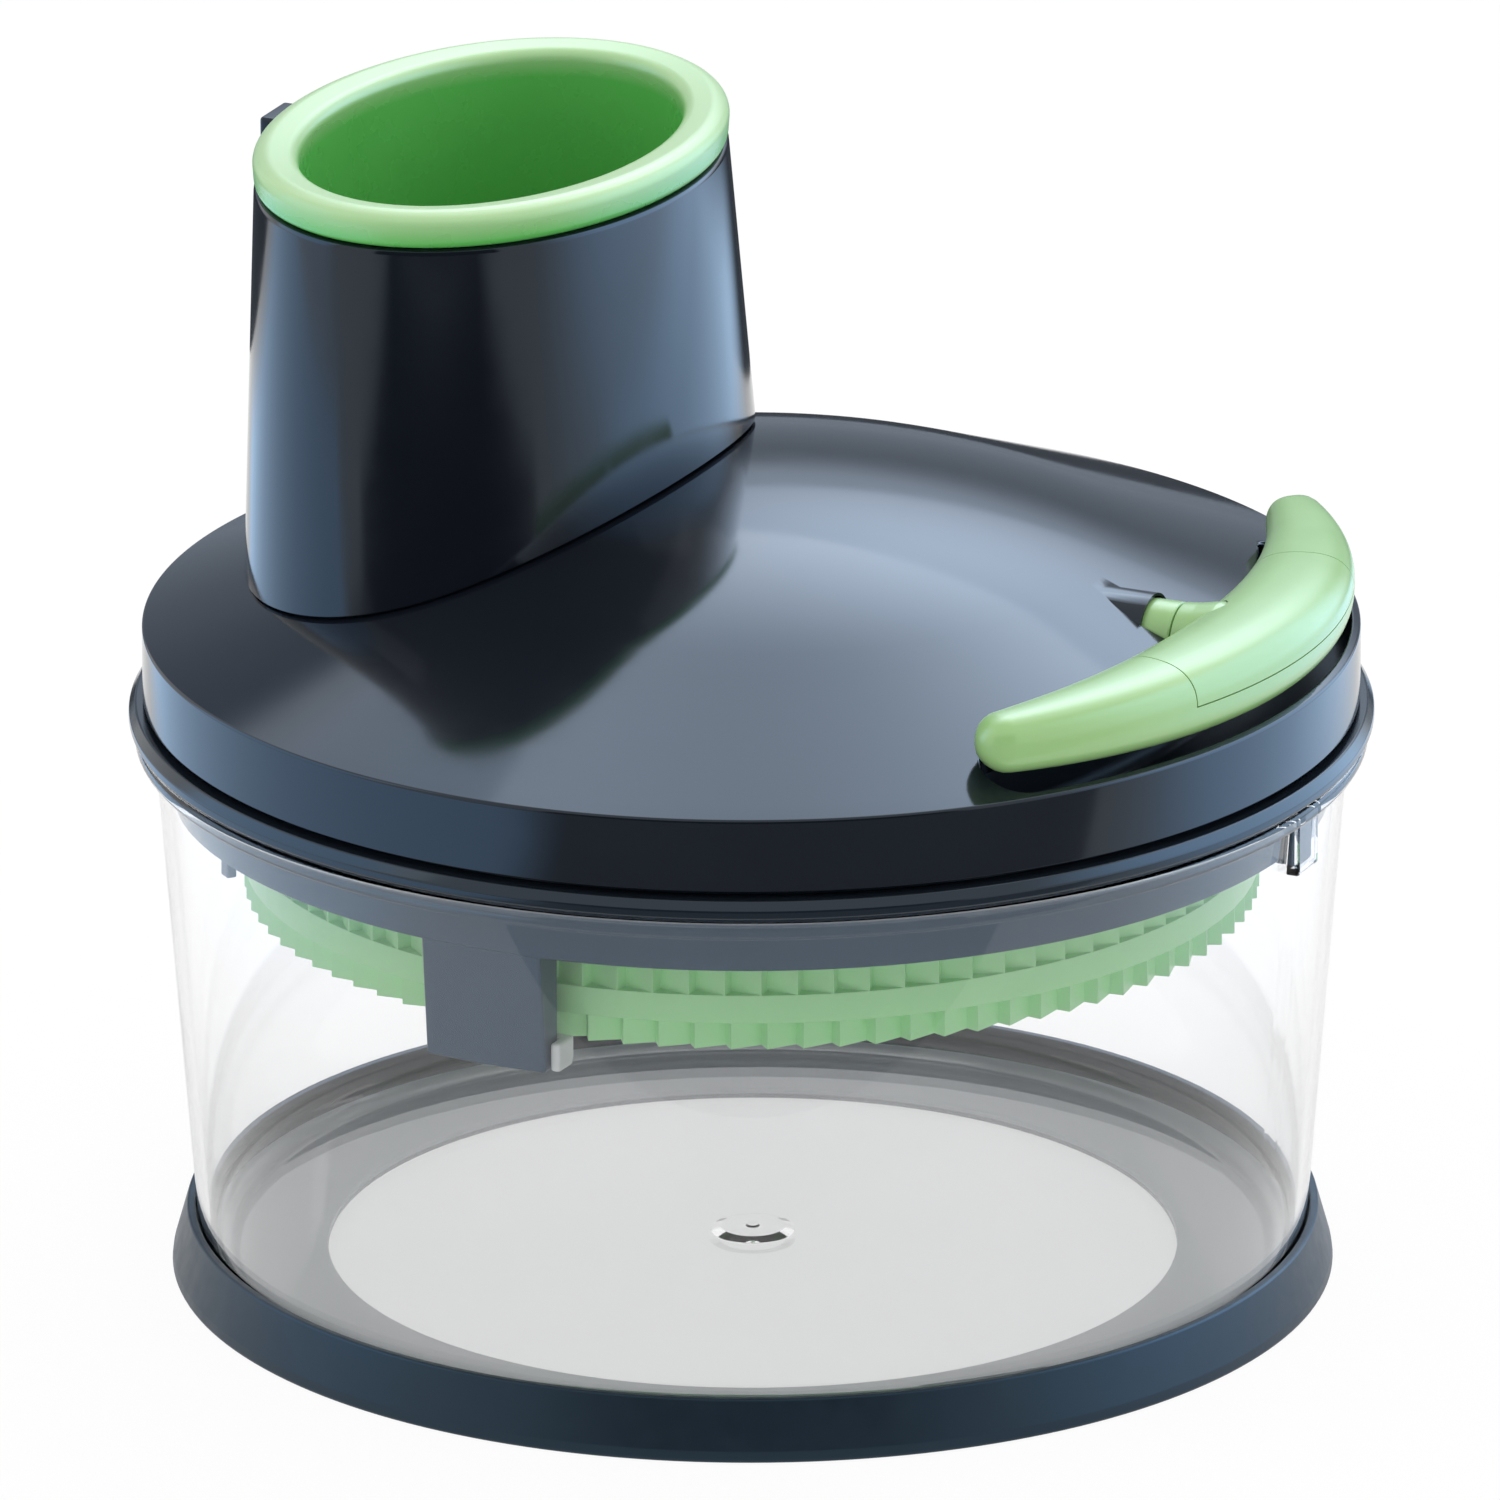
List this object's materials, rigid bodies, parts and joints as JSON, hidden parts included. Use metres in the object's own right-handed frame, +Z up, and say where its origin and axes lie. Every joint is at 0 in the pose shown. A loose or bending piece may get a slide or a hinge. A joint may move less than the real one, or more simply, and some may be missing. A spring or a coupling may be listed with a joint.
{
  "type": "manual food processor",
  "caption": "Pull-cord food processor: clear bowl on a rubber ring, domed geared lid with oval chute and pusher, crescent pull handle, toothed cutting rotor.",
  "frame": {"origin": "on the bowl's axis, at the surface that the base ring stands on", "axes": "+Z up along the bowl's axis, +X towards the pull handle, the chute over -X"},
  "size_m": [0.22, 0.22, 0.2052],
  "materials": {
    "clear_plastic": "clear, polished",
    "navy_rubber": "matt",
    "gloss_navy_plastic": "high gloss",
    "slate_plastic": "satin",
    "light_green_plastic": "satin gloss",
    "white_nylon": "satin",
    "steel": "brushed",
    "sintered_bronze": "matt",
    "cord": "braided"
  },
  "bodies": {
    "bowl": {"bowl": "clear_plastic", "base_ring": "navy_rubber"},
    "lid": {"lid_base": "slate_plastic", "lid_cover": "gloss_navy_plastic", "chute": "gloss_navy_plastic", "cord_guide": "white_nylon", "gear_bridge": "slate_plastic", "spool_axle": "steel", "recoil_spring": "steel", "shaft_bush": "sintered_bronze", "glide_pad_front": "white_nylon", "glide_pad_rear": "white_nylon", "bridge_screw_1": "steel", "bridge_screw_2": "steel", "bridge_screw_3": "steel", "lid_screw_1": "steel", "lid_screw_2": "steel", "lid_screw_3": "steel", "lid_screw_4": "steel", "lid_screw_5": "steel", "lid_screw_6": "steel"},
    "pusher": {"pusher": "light_green_plastic"},
    "rotor": {"disc_carrier": "light_green_plastic", "cutting_disc": "steel", "slicing_blade": "steel", "drive_shaft": "steel", "lock_knob": "slate_plastic", "pinion": "white_nylon", "shaft_collar": "steel"},
    "spool": {"cord_spool": "white_nylon", "cord_winding": "cord", "spool_gear": "white_nylon", "clutch_ratchet": "steel"},
    "handle": {"handle_grip": "light_green_plastic", "handle_cap": "light_green_plastic", "stem_sleeve": "light_green_plastic", "pull_cord": "cord", "cord_knot": "cord"}
  },
  "joints": [
    {"name": "lid_lift", "type": "slide", "parent": "bowl", "child": "lid", "axis": [0, 0, 1], "range_m": [0, 0.12]},
    {"name": "pusher_lift", "type": "slide", "parent": "lid", "child": "pusher", "axis": [0, 0, 1], "range_m": [0, 0.115]},
    {"name": "rotor_spin", "type": "hinge", "parent": "lid", "child": "rotor", "pos_m": [0, 0, 0.08], "axis": [0, 0, 1], "range_deg": [0, 1440]},
    {"name": "spool_spin", "type": "hinge", "parent": "lid", "child": "spool", "pos_m": [0.02683, -0.024, 0.12], "axis": [0, 0, 1], "range_deg": [-720, 0], "stiffness_Nm_per_rad": 0.0058, "springref_deg": 1432.39},
    {"name": "handle_pull", "type": "slide", "parent": "lid", "child": "handle", "axis": [1, 0, 0], "range_m": [0, 0.3016]}
  ],
  "couplings": [
    {"joint": "spool_spin", "follows": "rotor_spin", "ratio": -0.5},
    {"joint": "handle_pull", "follows": "rotor_spin", "m_per_rad": 0.012}
  ]
}
